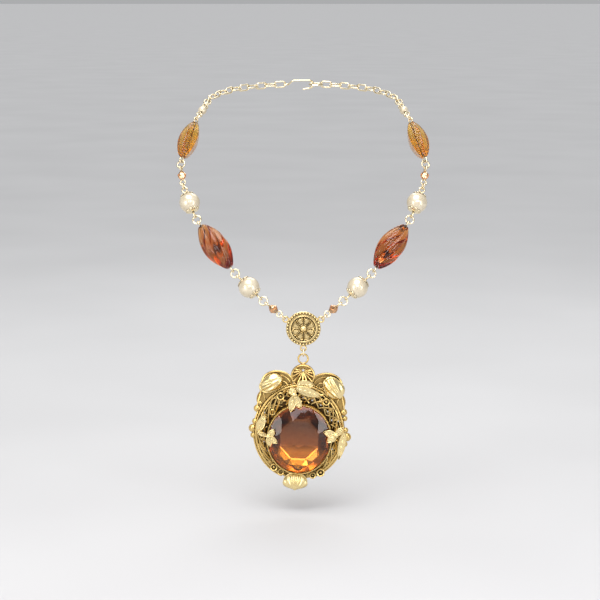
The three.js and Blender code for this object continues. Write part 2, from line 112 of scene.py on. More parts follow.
# ---- Pendant, in its face frame: x right, y up from the eye's middle, z to the front ----
PENDANT_LEAN = radians(2.8)
FRAME_OVAL = (21.4, 23.2, -35.6)
STONE_OVAL = (15.0, 16.5, -38.6)
GIRDLE = 4.7
STONE_TOP = 7.4
BEZEL_TOP = 5.4
PLATE = 1.2
ON_PLATE = PLATE + 0.15  # where a separate piece starts, just clear of the plate
LEAF_LIFT = 6.4
TOP_LOBE = {"middle": (0.3, -8.4), "radius": 5.7, "hub": (0.3, -5.6)}
BOTTOM_LOBE = (-0.3, -57.0, 4.4)
SHOULDER_SCROLLS = [  # wire radius, height, and points on the right shoulder
    (0.55, 1.2, [(4.6, -10.4), (6.6, -8.0), (10.2, -6.7), (14.4, -6.9), (18.0, -9.3), (19.4, -13.4),
                 (19.5, -17.8), (20.4, -21.6), (20.9, -24.6)]),
    (0.38, 1.35, [(5.4, -11.8), (7.6, -9.3), (10.6, -8.3), (13.6, -8.4), (16.6, -10.2), (18.1, -13.8),
                  (18.0, -17.6), (17.4, -20.6)]),
    (0.4, 1.5, [(6.6, -13.4), (8.2, -11.4), (10.0, -11.6), (10.3, -13.2), (9.0, -13.9), (8.4, -12.9)]),
]
CUPS = [  # x, y, radius, height, and the radius of the grain inside, or 0
    (-9.9, -18.4, 1.9, 1.7, 0.6), (12.0, -20.1, 1.8, 1.7, 0.7), (-11.5, -53.4, 1.8, 1.9, 0.7),
    (-8.1, -55.6, 1.6, 1.8, 0), (7.3, -56.6, 1.6, 1.8, 0.5), (11.1, -55.0, 2.0, 1.9, 0.8),
    (-13.4, -26.5, 1.5, 1.2, 0),
]
KNOBS = [  # x, y and radius
    (-20.6, -25.2, 1.5), (-22.4, -35, 1.7), (-21.4, -31.6, 1.2), (-22.0, -38.4, 1.1), (20.6, -25.2, 1.4),
    (22.7, -37.3, 1.8), (21.3, -28.2, 1.0), (21.9, -40.8, 1.1), (21.9, -34.0, 1.1), (-19.4, -22.4, 1.0),
]

# ---- Camera ----
CAMERA_AT = (-1.6, -851.5, 60.3)
CAMERA_TILT = 80.0
VIEW_ANGLE = 20.19
SENSOR = 36

# ---- Lamps: name, place, width and height, watts, colour ----
LIT_POINT = (0, -40, -70)
SOFTBOXES = [
    ("top_softbox", (-60, -330, 620), (620, 420), 2.2, (1, 0.98, 0.95)),
    ("front_strip", (30, -600, 210), (460, 170), 0.95, (1, 0.92, 0.97)),
    ("left_softbox", (-470, -520, 0), (220, 420), 1.3, (1, 0.97, 0.93)),
    ("right_softbox", (470, -520, 0), (200, 400), 1.1, (0.97, 0.98, 1)),
    ("back_softbox", (80, 420, 420), (500, 300), 1.1, (1, 1, 1)),
]


def new_object(name, data):
    made = bpy.data.objects.new(name, data)
    bpy.context.scene.collection.objects.link(made)
    return made


# ---- Shapes ----

class Shape:
    """Vertices and faces gathered before they become one mesh."""

    def __init__(self):
        self.vertices = []
        self.faces = []
        self.looks = []

    def add(self, made, place=None, look=0):
        vertices, faces = made
        first = len(self.vertices)
        self.vertices += [place @ Vector(v) if place else Vector(v) for v in vertices]
        self.faces += [[first + i for i in face] for face in faces]
        self.looks += [look] * len(faces)
        return self


def grid_faces(rows, columns, closed_columns=True, closed_rows=False):
    faces = []
    for row in range(rows if closed_rows else rows - 1):
        above = (row + 1) % rows
        for column in range(columns if closed_columns else columns - 1):
            beside = (column + 1) % columns
            faces.append([row * columns + column, row * columns + beside,
                          above * columns + beside, above * columns + column])
    return faces


def tube(path, radius, sides=8, closed=False):
    """A round wire along a path. radius is a number, or a function of the share of the way along."""
    points = [Vector(p) for p in path]
    count = len(points)
    normal = None
    vertices = []
    for i, point in enumerate(points):
        before = points[i - 1] if closed or i else point
        after = points[(i + 1) % count] if closed or i < count - 1 else point
        along = (after - before).normalized()
        if normal is None:
            normal = along.orthogonal().normalized()
        normal = (normal - along * normal.dot(along)).normalized()
        side = along.cross(normal)
        size = radius(i / (count - 1)) if callable(radius) else radius
        for k in range(sides):
            turn = 2 * pi * k / sides
            vertices.append(point + (normal * cos(turn) + side * sin(turn)) * size)
    faces = grid_faces(count, sides, closed_rows=closed)
    if not closed:
        faces.append(list(range(sides))[::-1])
        faces.append([(count - 1) * sides + k for k in range(sides)])
    return vertices, faces


def loop_path(size, plane, middle, start, sweep, steps):
    """Points round a wire loop's middle line, in the XY plane, or in the YZ plane when it stands on edge."""
    radius = size["outer"] / 2 - size["wire"] / 2
    points = []
    for i in range(steps + 1):
        turn = radians(start + sweep * i / steps)
        across, up = radius * cos(turn), radius * sin(turn)
        points.append(Vector((across, up, 0) if plane == "face" else (0, up, across)) + Vector(middle))
    return points


def circle_points(x, y, radius, count):
    return [(x + radius * cos(2 * pi * i / count), y + radius * sin(2 * pi * i / count))
            for i in range(count)]


def hoop(x, y, radius, height, wire, count, sides=8):
    """A wire ring that lies flat at a height."""
    path = [(*point, height) for point in circle_points(x, y, radius, count)]
    return tube(path, wire, sides, closed=True)


def lathe(profile, around, section=None, axis="Y"):
    """Turns (radius, height) pairs round an axis into a closed body of revolution, open along the axis."""
    vertices = []
    for radius, height in profile:
        for k in range(around):
            turn = k / around
            reach = radius * (section(turn, height) if section else 1)
            x, z = reach * cos(2 * pi * turn), reach * sin(2 * pi * turn)
            vertices.append((x, height, z) if axis == "Y" else (x, z, height))
    faces = grid_faces(len(profile), around, closed_rows=True)
    if axis == "Y":
        faces = [face[::-1] for face in faces]
    return vertices, faces


def ball(middle, radius, around=10, rows=6, flat=1.0):
    """A small round grain. flat squashes it along Z."""
    x, y, z = middle
    vertices = []
    for row in range(1, rows):
        polar = pi * row / rows
        level = z - radius * flat * cos(polar)
        vertices += [(*point, level) for point in circle_points(x, y, radius * sin(polar), around)]
    faces = grid_faces(rows - 1, around)
    low, high = len(vertices), len(vertices) + 1
    vertices += [(x, y, z - radius * flat), (x, y, z + radius * flat)]
    last = (rows - 2) * around
    for k in range(around):
        faces.append([low, (k + 1) % around, k])
        faces.append([high, last + k, last + (k + 1) % around])
    return vertices, faces


def slab(outline, holes, low, high):
    """A plate with holes and rounded edges, from a filled flat curve."""
    bevel = 0.12
    curve = bpy.data.curves.new("outline", "CURVE")
    curve.dimensions = "2D"
    curve.fill_mode = "BOTH"
    curve.extrude = (high - low) / 2 - bevel
    curve.bevel_depth = bevel
    curve.bevel_resolution = 2
    for points in [outline, *holes]:
        spline = curve.splines.new("POLY")
        spline.points.add(len(points) - 1)
        spline.use_cyclic_u = True
        for point, (x, y) in zip(spline.points, points):
            point.co = (x, y, 0, 1)
    holder = new_object("outline", curve)
    bpy.context.view_layer.update()
    mesh = bpy.data.meshes.new_from_object(holder.evaluated_get(bpy.context.evaluated_depsgraph_get()))
    middle = (low + high) / 2
    vertices = [(v.co.x, v.co.y, v.co.z + middle) for v in mesh.vertices]
    faces = [list(p.vertices) for p in mesh.polygons]
    bpy.data.objects.remove(holder)
    bpy.data.curves.remove(curve)
    bpy.data.meshes.remove(mesh)
    return vertices, faces


# ---- Pieces ----

def facing_front(middle):
    """A frame at a point, with X to the right, Y up and Z to the front."""
    return Matrix(((1, 0, 0, middle.x), (0, 0, -1, middle.y), (0, 1, 0, middle.z), (0, 0, 0, 1)))


def piece(name, shape, materials, body, nodes=(), place=None, flat=False, crease=None):
    """Makes one mesh object from a shape, sets it in place and lets it ride on its body.

    flat shows every facet, and crease is the angle in degrees above which an edge stays sharp.
    """
    mesh = bpy.data.meshes.new(name)
    mesh.from_pydata([tuple(v * MM) for v in shape.vertices], [], shape.faces)
    for material in materials:
        mesh.materials.append(material)
    for polygon, look in zip(mesh.polygons, shape.looks):
        polygon.material_index = look
        polygon.use_smooth = not flat
    mesh.validate()
    mesh.update()
    made = new_object(name, mesh)
    if place is not None:
        made.matrix_world = place
    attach(made, body)
    if nodes:
        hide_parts(*nodes)
    if crease:
        mesh.set_sharp_from_angle(angle=radians(crease))


# ---- Materials ----

def new_material(name, values):
    """A material, its node tree and its surface node, with that node's uniform values set."""
    material = bpy.data.materials.new(name)
    material.use_nodes = True
    surface = material.node_tree.nodes["Principled BSDF"]
    for socket, value in values.items():
        surface.inputs[socket].default_value = value
    return material, material.node_tree, surface


def add_node(tree, kind, values=None, **settings):
    node = tree.nodes.new(kind)
    for key, value in settings.items():
        setattr(node, key, value)
    for socket, value in (values or {}).items():
        node.inputs[socket].default_value = value
    return node


def link(tree, source, node, socket):
    tree.links.new(source, node.inputs[socket])


def object_place(tree):
    return add_node(tree, "ShaderNodeTexCoord").outputs["Object"]


def noise(tree, scale, detail=3.0):
    node = add_node(tree, "ShaderNodeTexNoise", {"Scale": scale, "Detail": detail})
    link(tree, object_place(tree), node, "Vector")
    return node.outputs["Fac"]


def spread(tree, source, low, high):
    """Maps a 0 to 1 value onto low to high."""
    node = add_node(tree, "ShaderNodeMapRange", {"To Min": low, "To Max": high})
    link(tree, source, node, "Value")
    return node.outputs["Result"]


def ramp(tree, source, stops):
    node = add_node(tree, "ShaderNodeValToRGB")
    link(tree, source, node, "Fac")
    elements = node.color_ramp.elements
    while len(elements) < len(stops):
        elements.new(0.5)
    for element, (position, colour) in zip(elements, stops):
        element.position = position
        element.color = (*colour, 1)
    return node.outputs["Color"]


def bump(tree, surface, height, strength, distance):
    node = add_node(tree, "ShaderNodeBump", {"Strength": strength, "Distance": distance})
    link(tree, height, node, "Height")
    link(tree, node.outputs["Normal"], surface, "Normal")


def gold(name, light, painted_shade_colour, roughness, grime, reach):
    """Plated metal: its own colour on open surfaces, painted shade that darkens it towards near black in
    recesses found by ambient occlusion, and a random mottle of grime.
    """
    material, tree, surface = new_material(name, {"Metallic": 1.0})
    # Ambient occlusion paints shade into the base colour: recesses go towards the painted shade colour.
    occlusion_shade = add_node(tree, "ShaderNodeAmbientOcclusion", {"Distance": reach}, samples=16)
    mottle = spread(tree, noise(tree, 900), -grime, grime)
    shade_and_grime = add_node(tree, "ShaderNodeMath", operation="ADD", use_clamp=True)
    link(tree, occlusion_shade.outputs["AO"], shade_and_grime, 0)
    link(tree, mottle, shade_and_grime, 1)
    middle = tuple((a + b) / 2 for a, b in zip(light, painted_shade_colour))
    colours = ramp(tree, shade_and_grime.outputs[0], [(0.22, painted_shade_colour), (0.5, middle), (0.8, light)])
    link(tree, colours, surface, "Base Color")
    link(tree, spread(tree, noise(tree, 1400, 5), roughness - 0.07, roughness + 0.13), surface, "Roughness")
    bump(tree, surface, noise(tree, 2600, 4), 0.35, 0.00006)
    return material


def nacre():
    """Cream pearl coating: a soft body colour under a clear lustre."""
    values = {"Metallic": 0.3, "Coat Weight": 0.7, "Coat Roughness": 0.16, "Coat IOR": 1.6}
    material, tree, surface = new_material("nacre", values)
    body = ramp(tree, noise(tree, 220, 4), [(0.3, (0.56, 0.47, 0.31)), (0.55, (0.70, 0.61, 0.44)),
                                            (0.75, (0.80, 0.72, 0.55))])
    link(tree, body, surface, "Base Color")
    link(tree, spread(tree, noise(tree, 1500, 4), 0.24, 0.36), surface, "Roughness")
    bump(tree, surface, noise(tree, 700, 3), 0.25, 0.00006)
    return material


def glass(name, tints, thick_tint, density, roughness, ior=1.52, metallic=0.0, clear=1.0, ribs=0.0,
          scale=180):
    """Coloured glass. Its tint varies between two, and it takes thick_tint where it is thick."""
    values = {"Transmission Weight": clear, "Metallic": metallic, "IOR": ior}
    material, tree, surface = new_material(name, values)
    colours = ramp(tree, noise(tree, scale, 3), [(0.3, tints[0]), (0.7, tints[1])])
    link(tree, colours, surface, "Base Color")
    link(tree, spread(tree, noise(tree, 900, 4), roughness * 0.5, roughness * 1.5), surface, "Roughness")
    if ribs:
        waves = add_node(tree, "ShaderNodeTexWave", {"Scale": 330.0, "Distortion": 2.5, "Detail": 2.0},
                         bands_direction="Y")
        link(tree, object_place(tree), waves, "Vector")
        bump(tree, surface, waves.outputs["Fac"], ribs, 0.0002)
    else:
        bump(tree, surface, noise(tree, 160, 2), 0.2, 0.00015)
    absorb = add_node(tree, "ShaderNodeVolumeAbsorption", {"Color": (*thick_tint, 1), "Density": density})
    tree.links.new(absorb.outputs["Volume"], tree.nodes["Material Output"].inputs["Volume"])
    return material


def foil():
    """The coloured foil behind the stone: its orange is its own colour, and its brightness by height is
    painted: a bright foot as painted light from above, painted shade above it, and a painted rosy reflection
    at the top.
    """
    material, tree, surface = new_material("painted_light_stone_foil", {"Metallic": 0.9, "Roughness": 0.22})
    split = add_node(tree, "ShaderNodeSeparateXYZ")
    link(tree, object_place(tree), split, 0)
    height = add_node(tree, "ShaderNodeMapRange", {"From Min": -54 * MM, "From Max": -22 * MM})
    link(tree, split.outputs["Y"], height, "Value")
    # Painted light by height: a bright foot, painted shade in the middle, and a painted rosy reflection at
    # the top.
    colours = ramp(tree, height.outputs["Result"], [(0.0, (1.0, 0.62, 0.16)), (0.28, (1.0, 0.55, 0.10)),
                                                    (0.40, (0.30, 0.12, 0.03)), (0.72, (0.11, 0.045, 0.03)),
                                                    (0.92, (0.70, 0.36, 0.26))])
    link(tree, colours, surface, "Base Color")
    return material


# Each gold's colour, its painted shade colour in recesses, roughness, grime, and how far the painted shade
# reaches into a recess
PALE_GOLD = gold("pale_gold", (0.88, 0.76, 0.52), (0.18, 0.12, 0.06), 0.2, 0.1, 0.0008)
ANTIQUE_GOLD = gold("antique_gold", (0.76, 0.54, 0.20), (0.020, 0.011, 0.004), 0.25, 0.2, 0.0024)
BRIGHT_GOLD = gold("bright_gold", (0.92, 0.74, 0.37), (0.05, 0.028, 0.008), 0.24, 0.14, 0.0008)
WORN_GOLD = gold("worn_gold", (0.50, 0.33, 0.11), (0.02, 0.011, 0.004), 0.34, 0.26, 0.0024)
RUBBED_GOLD = gold("rubbed_gold", (0.84, 0.65, 0.31), (0.035, 0.020, 0.007), 0.25, 0.14, 0.0009)
# Near-black gold for the plate's front face: painted shade in the depths between the lattice wires.
SHADE_PAINTED_GOLD = gold("shade_painted_gold", (0.10, 0.06, 0.025), (0.012, 0.008, 0.004), 0.5, 0.2, 0.0014)
NACRE = nacre()
# Each glass's two tints, its tint where thick, density and roughness
TOPAZ = glass("topaz_glass", ((0.92, 0.66, 0.36), (0.97, 0.76, 0.48)), (0.84, 0.48, 0.10), 260, 0.012,
              ior=1.46)
ACCENT_GLASS = glass("accent_glass", ((0.90, 0.60, 0.30), (0.95, 0.72, 0.42)), (0.85, 0.45, 0.12), 300, 0.03,
                     metallic=0.4)
AMBER = glass("amber_glass", ((0.97, 0.76, 0.30), (1.0, 0.86, 0.42)), (0.97, 0.74, 0.10), 200, 0.07,
              ribs=0.5)
FROST = glass("frosted_glass", ((0.74, 0.48, 0.30), (0.92, 0.74, 0.58)), (0.97, 0.74, 0.10), 200, 0.3,
              clear=0.45, ribs=0.8, scale=500)
STONE = glass("stone_glass", ((0.97, 0.80, 0.56), (0.99, 0.86, 0.62)), (0.95, 0.62, 0.16), 75, 0.015)
PAINTED_LIGHT_FOIL = foil()


# ---- Places of the arm's links, from the CAD model's own joints ----

def reach_of(size):
    return size["outer"] / 2 - size["wire"] - PLAY / 2


def arm_places(side):
    """Each link's frame and pitch, and the back chain's start. Y runs up the arm and Z faces outward."""
    hangs = {joint["child"]: joint for joint in frame["joints"]}
    bodies = [f"{side}_{entry[0]}" for entry in ARM] + [f"{side}_back_chain"]
    pivots = [Vector(hangs[body]["pos_m"]) / MM for body in bodies]
    wires = [EAR["wire"]] + [entry[2]["wire"] for entry in ARM]
    # A pivot sits half a wire from where its link starts, and a few rounds settle the starts
    starts = list(pivots)
    for _ in range(6):
        for i in range(len(starts)):
            low = min(i, len(starts) - 2)
            along = (starts[low + 1] - starts[low]).normalized()
            starts[i] = pivots[i] - along * (PLAY / 2 + wires[i] / 2)
    places = {}
    for i, entry in enumerate(ARM):
        step = starts[i + 1] - starts[i]
        along = step.normalized()
        next_joint = hangs[bodies[i + 1]]
        axis = Vector(next_joint["axis"])
        outward = axis.cross(along) if next_joint["name"].endswith("lift") else axis
        if outward.dot(Vector((starts[i].x, starts[i].y, 0))) < 0:
            outward = -outward
        across = along.cross(outward).normalized()
        place = Matrix((across, along, across.cross(along))).transposed().to_4x4()
        place.translation = starts[i] * MM
        places[entry[0]] = (place, step.length)
    return places, starts[-1]


# ---- Links of the arms ----

def add_ring(shape, size, plane, middle, turned):
    """A jump ring: round wire bent into a circle, with a hairline gap where its ends meet."""
    opening = 2.5  # degrees
    path = loop_path(size, plane, middle, turned + opening / 2, 360 - opening, 40)
    shape.add(tube(path, size["wire"] / 2, 12))


def ring_piece(name, body, size, plane, place):
    shape = Shape()
    add_ring(shape, size, plane, (0, reach_of(size), 0), turned=chance.choice((20.0, 160.0, 200.0)))
    piece(name, shape, [PALE_GOLD], body, [body], place=place)


def add_cap(shape, bead, radius, thickness, middle, up):
    """A petalled cup over one end of a round bead. up is 1 for the upper end and -1 for the lower."""
    petals = 8
    around, rows = petals * 8, 7
    inner = bead + 0.06
    hole = 0.1
    widest = asin(radius / inner)

    def point(size, row, turn):
        scallop = abs(cos(petals / 2 * turn)) ** 0.7
        polar = hole + (widest * (0.74 + 0.3 * scallop) - hole) * row / (rows - 1)
        return size * sin(polar) * cos(turn), up * size * cos(polar), size * sin(polar) * sin(turn)

    turns = [2 * pi * k / around for k in range(around)]
    vertices = []
    for row in range(rows):
        for turn in turns:
            ridge = 0.12 * cos(petals * turn) * row / rows
            vertices.append(point(inner + thickness + ridge, row, turn))
    for row in reversed(range(rows)):
        vertices += [point(inner, row, turn) for turn in turns]
    faces = grid_faces(2 * rows, around, closed_rows=True)
    raised = Matrix.Translation((0, middle, 0))
    shape.add((vertices, [face[::-1] for face in faces] if up < 0 else faces), raised)
    rim = [point(inner + thickness * 0.6, rows - 1, turn) for turn in turns]
    shape.add(tube(rim, 0.2, 6, closed=True), raised)


def pin_shape(pitch, lower_plane, upper_plane):
    """A wire through a bead with an eye turned at each end, and a small collar where each eye starts."""
    shape = Shape()
    gap = 12  # degrees between an eye's end and the wire
    radius = EYE["wire"] / 2
    reach = reach_of(EYE)
    middle_line = EYE["outer"] / 2 - radius
    lower = loop_path(EYE, lower_plane, (0, reach, 0), 90 + gap, 360 - gap, 34)
    upper = loop_path(EYE, upper_plane, (0, pitch - reach, 0), 270 + gap, 360 - gap, 34)
    shape.add(tube(lower, radius, 12))
    shape.add(tube(upper, radius, 12))
    low, high = reach + middle_line, pitch - reach - middle_line
    shape.add(tube([(0, low + (high - low) * i / 8, 0) for i in range(9)], radius, 12))
    for y, away in ((low, 1), (high, -1)):
        collar = [(0, y + away * step, 0) for step in (0.05, 0.25, 0.5, 0.7)]
        shape.add(tube(collar, lambda share: radius + 0.16 * sin(pi * share), 12))
    return shape


def round_bead(radius, end, middle, rows=30, around=48):
    """A ball with a bore and a small flat at each end."""
    last = acos(end / radius)
    profile = []
    for i in range(rows + 1):
        polar = last * (2 * i / rows - 1)
        profile.append((radius * cos(polar), middle + radius * sin(polar)))
    profile += [(BORE, middle + radius * sin(last)), (BORE, middle - radius * sin(last))]
    return lathe(profile, around)


def barrel(size, middle, rows, fullness, around, section):
    """A long bead with a bore. section scales its radius for a share of the turn and a height."""
    profile = []
    for i in range(rows + 1):
        swell = sin(pi * i / rows) ** fullness
        profile.append((size["end"] + (size["radius"] - size["end"]) * swell,
                        middle + size["length"] * (i / rows - 0.5)))
    half = size["length"] / 2
    profile += [(BORE, middle + half), (BORE, middle - half)]
    vertices, faces = lathe(profile, around, lambda turn, height: section(turn, height - middle))
    for k in range(2 * around):  # the bore stays round
        x, y, z = vertices[-1 - k]
        reach = hypot(x, z)
        vertices[-1 - k] = (x * BORE / reach, y, z * BORE / reach)
    return vertices, faces


def fluted_section(turn, height):
    """Full rounded lobes with grooves between them, twisting up the bead."""
    wave = pi * FLUTED["flutes"] * (turn + FLUTED["turns"] * height / FLUTED["length"])
    return 1 - FLUTED["depth"] * (1 - abs(sin(wave))) ** 1.3


def crackle_section(turn, height):
    """Nearly flat sides that meet in soft ridges, with fine ribs across them."""
    sides = CRACKLE["sides"]
    place = (turn * sides) % 1 - 0.5
    flat = cos(pi / sides) / cos(2 * pi / sides * place)
    ribbed = sin(2 * pi * turn * sides / 2) ** 2
    ribs = CRACKLE["rib"] * ribbed * sin(2 * pi * height / CRACKLE["rib_pitch"])
    return min(1.0, 0.06 + 0.94 * flat * 1.02) + ribs  # the limit of 1 rounds the ridges


def accent_shape(middle):
    """A small faceted double cone with a bore."""
    shape = Shape()
    sides = 8
    half, belt = ACCENT["length"] / 2, 0.25
    # Each row's radius, height, and turn in shares of a side
    rows = [(ACCENT["end"], -half, 0), (1.75, -half * 0.5, 0.5), (ACCENT["radius"], -belt, 0),
            (ACCENT["radius"], belt, 0), (1.75, half * 0.5, 0.5), (ACCENT["end"], half, 0),
            (BORE, half, 0), (BORE, -half, 0)]
    vertices = []
    for radius, height, shift in rows:
        for k in range(sides):
            turn = 2 * pi * (k + shift) / sides
            vertices.append((radius * cos(turn), middle + height, radius * sin(turn)))
    faces = []
    for a, b, c, d in grid_faces(len(rows), sides, closed_rows=True):
        lean = rows[d // sides][2] - rows[a // sides][2]
        if lean > 0:
            faces += [[a, d, b], [b, d, c]]
        elif lean < 0:
            faces += [[a, d, c], [a, c, b]]
        else:
            faces.append([a, d, c, b])
    return shape.add((vertices, faces))


def crackle_body(shape, side, middle):
    """The five-sided bead, with a ridge to the front and its outer front face frosted."""
    facing, outward = (0.0, 1) if side == "left" else (0.5, -1)
    rows, around = 120, 80
    shape.add(barrel(CRACKLE, middle, rows, 0.7, around,
                     lambda turn, height: crackle_section(turn - facing, height)))
    for i in range(rows * around):
        turn = ((i % around + 0.5) / around - facing + 0.5) % 1 - 0.5
        if 0 < -turn * outward < 1 / CRACKLE["sides"]:
            shape.looks[i] = 1


def bead_shape(side, bead, pin, middle):
    """The bead itself, its materials and its slot. A round bead's caps go on the pin."""
    shape = Shape()
    if bead == "small_pearl":
        add_cap(pin, SMALL_PEARL, 1.5, 0.3, middle, 1)
        shape.add(round_bead(SMALL_PEARL, 0.9, middle, 16, 28))
        return shape, [NACRE], "pearl"
    if bead.startswith("pearl"):
        for up in (1, -1):
            add_cap(pin, PEARL, 3.1, 0.32, middle, up)
        shape.add(round_bead(PEARL, 0.95, middle))
        return shape, [NACRE], "pearl"
    if bead == "fluted_bead":
        shape.add(barrel(FLUTED, middle, 64, 0.8, 120, fluted_section))
        return shape, [TOPAZ], "topaz_glass"
    if bead == "crackle_bead":
        crackle_body(shape, side, middle)
        return shape, [AMBER, FROST], "amber_glass"
    return accent_shape(middle), [ACCENT_GLASS], "topaz_glass"


def bead_pieces(side, body, bead, lower, upper, place, pitch):
    """A bead on its pin. A glass bead's bore shows a gold lining round the pin."""
    full_body, node = f"{side}_{body}", f"{side}_{bead}"
    middle = pitch / 2
    pin = pin_shape(pitch, lower, upper)
    shape, materials, slot = bead_shape(side, bead, pin, middle)
    if bead in GLASS_BEADS:
        half = GLASS_BEADS[bead]["length"] / 2
        lining = [(0, middle + half * share, 0) for share in (-0.96, -0.5, 0, 0.5, 0.96)]
        pin.add(tube(lining, BORE - 0.06, 16))
    piece(f"{node}_pin_wire", pin, [PALE_GOLD], full_body, [f"{node}_pin"], place=place)
    flat = bead.startswith("accent")
    piece(f"{node}_body", shape, materials, full_body, [node], place, flat, None if flat else 50)


def arm(side):
    """One arm's rings and beads, from the medallion up. Returns where its back chain starts."""
    places, chain_start = arm_places(side)
    for body, bead, size, lower, upper in ARM:
        place, pitch = places[body]
        if bead == "ring":
            ring_piece(f"{side}_{body}_wire", f"{side}_{body}", size, lower, place)
        else:
            bead_pieces(side, body, bead, lower, upper, place, pitch)
    return chain_start


# ---- Back chain and clasp ----

def curve_point(points, share):
    """A smooth curve through points, at a share of the way along."""
    span = min(int(share * (len(points) - 1)), len(points) - 2)
    local = share * (len(points) - 1) - span
    p0 = points[max(span - 1, 0)]
    p1, p2 = points[span], points[span + 1]
    p3 = points[min(span + 2, len(points) - 1)]
    return 0.5 * ((2 * p1) + (p2 - p0) * local + (2 * p0 - 5 * p1 + 4 * p2 - p3) * local ** 2
                  + (3 * p1 - p0 - 3 * p2 + p3) * local ** 3)


def link_ends(side, start, end):
    """Equal steps along the nape's curve, one for each link of the back chain."""
    mirror = -1 if side == "left" else 1
    below, *past = [Vector((mirror * x, y, z)) for x, y, z in NAPE_ROUTE]
    route = [below, start, *past, end]
    steps = 400
    first = 1 / (len(route) - 1)
    fine = [curve_point(route, first + (1 - first) * i / steps) for i in range(steps + 1)]
    lengths = [0.0]
    for a, b in zip(fine, fine[1:]):
        lengths.append(lengths[-1] + (b - a).length)
    marks = [bisect_left(lengths, lengths[-1] * i / BACK_LINKS) for i in range(BACK_LINKS + 1)]
    return [fine[min(mark, steps)] for mark in marks]


def oval_link(start, end, outward, on_edge):
    """One soldered oval link between two contact points."""
    along = (end - start).normalized()
    across = along.cross(outward).normalized()
    outward = across.cross(along)
    side = outward if on_edge else across
    half_inner = (end - start).length / 2 + PLAY / 2
    radius = CHAIN_LINK["width"] / 2 - CHAIN_LINK["wire"] / 2
    straight = half_inner + CHAIN_LINK["wire"] / 2 - radius
    middle = (start + end) / 2
    path = []
    steps = 32
    for i in range(steps):
        turn = 2 * pi * i / steps
        lift = sin(turn) * radius + copysign(straight, sin(turn) + 1e-9)
        path.append(middle + side * (cos(turn) * radius) + along * lift)
    return tube(path, CHAIN_LINK["wire"] / 2, 10, closed=True)


def back_chain(side, start):
    """Twelve interlocked links, alternately flat and on edge, as one piece."""
    clasp = "clasp_hook" if side == "left" else "clasp_ring"
    pivot = next(Vector(j["pos_m"]) / MM for j in frame["joints"] if j["child"] == clasp)
    ends = link_ends(side, start, pivot)
    shape = Shape()
    for i in range(BACK_LINKS):
        outward = Vector((ends[i].x, ends[i].y, 15))  # away from the neck and a little up
        shape.add(oval_link(ends[i], ends[i + 1], outward, i % 2 == 0))
    piece(f"{side}_back_chain_links", shape, [PALE_GOLD], f"{side}_back_chain", [f"{side}_back_chain"])


def dress(node, material):
    """Gives a CAD node that stays on show its finished material."""
    mesh = frame["nodes"][node].data
    mesh.materials.clear()
    mesh.materials.append(material)
    for polygon in mesh.polygons:
        polygon.use_smooth = True


# ---- Medallion ----

def medallion():
    """A lathed disc with a beaded edge, two wires, the flower, and three ears."""
    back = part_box("medallion")[1].y
    place = facing_front(Vector((0, back, MEDALLION_MIDDLE * MM)))
    shape = Shape()
    profile = [(0.01, 0), (7.9, 0), (8.2, 0.4), (8.2, 0.75), (8.05, 0.9), (7.2, 0.8), (6.95, 1.3),
               (6.5, 1.3), (6.4, 1.0), (0.01, 1.0)]
    around = 96
    shape.add(lathe(profile, around, axis="Z"))
    for x, y in circle_points(0, 0, 7.62, 32):
        shape.add(ball((x, y, 1.2), 0.56, 12, 8))
    for radius, wire, height in ((6.15, 0.34, 1.45), (8.05, 0.2, 0.65)):
        shape.add(hoop(0, 0, radius, height, wire, around, 10))
    rosette(shape)
    for degrees in (28, 152, 270):
        turn = Matrix.Rotation(radians(degrees), 4, "Z")
        loop = loop_path(EAR, "face", (9.5, 0, 0.8), 0, 354, 36)
        shape.add(tube(loop, EAR["wire"] / 2, 12), turn)
    piece("medallion_relief", shape, [RUBBED_GOLD], "medallion", ["medallion"], place,
          crease=40)


def rosette(shape):
    """The stamped flower: eight wedge petals, each with an engraved U, and a pyramid in the middle."""
    petals, around = 8, 256
    inner, outer, foot = 1.45, 5.7, 0.9
    radii = [1.0 + 0.08 * i for i in range(64)]

    def height(radius, share):
        side = radius * pi / petals * (1 - abs(2 * ((share * petals) % 1) - 1))
        near = [side + 0.04, outer - radius, radius - inner]
        depth = -log(sum(exp(-5 * d) for d in near)) / 5
        rise = min(1, max(0, depth / 0.3))
        engraved = exp(-((depth - 0.66) / 0.14) ** 2)
        return 1.02 + 0.78 * rise - 0.42 * engraved

    def ring(radius, level=None):
        """One ring of points, on the relief or at a level."""
        return [(x, y, height(radius, k / around) if level is None else level)
                for k, (x, y) in enumerate(circle_points(0, 0, radius, around))]

    vertices = ring(radii[0], foot)
    for radius in radii:
        vertices += ring(radius)
    vertices += ring(radii[-1], foot)
    faces = grid_faces(len(radii) + 2, around, closed_rows=True)
    shape.add((vertices, [face[::-1] for face in faces]))
    half, low, tip = 1.15, 1.35, 2.05
    pyramid = [(-half, -half, low), (half, -half, low), (half, half, low), (-half, half, low), (0, 0, tip)]
    shape.add((pyramid, [[0, 1, 4], [1, 2, 4], [2, 3, 4], [3, 0, 4], [3, 2, 1, 0]]))


# ---- Pendant ----

def pendant_place():
    """The pendant's face frame, found from where the CAD model puts the stone."""
    low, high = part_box("centre_stone")
    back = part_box("pendant_frame")[1].y
    stone = Vector(((low.x + high.x) / 2, back, (low.z + high.z) / 2))
    turned = facing_front(Vector()) @ Matrix.Rotation(-PENDANT_LEAN, 4, "Z")
    offset = turned @ Vector((0, STONE_OVAL[2] * MM, 0))
    return Matrix.Translation(stone - offset) @ turned


def oval_point(oval, degrees, grow=0.0):
    """A point on an oval that is made larger or smaller all round."""
    turn = radians(degrees)
    return (oval[0] + grow) * cos(turn), oval[2] + (oval[1] + grow) * sin(turn)


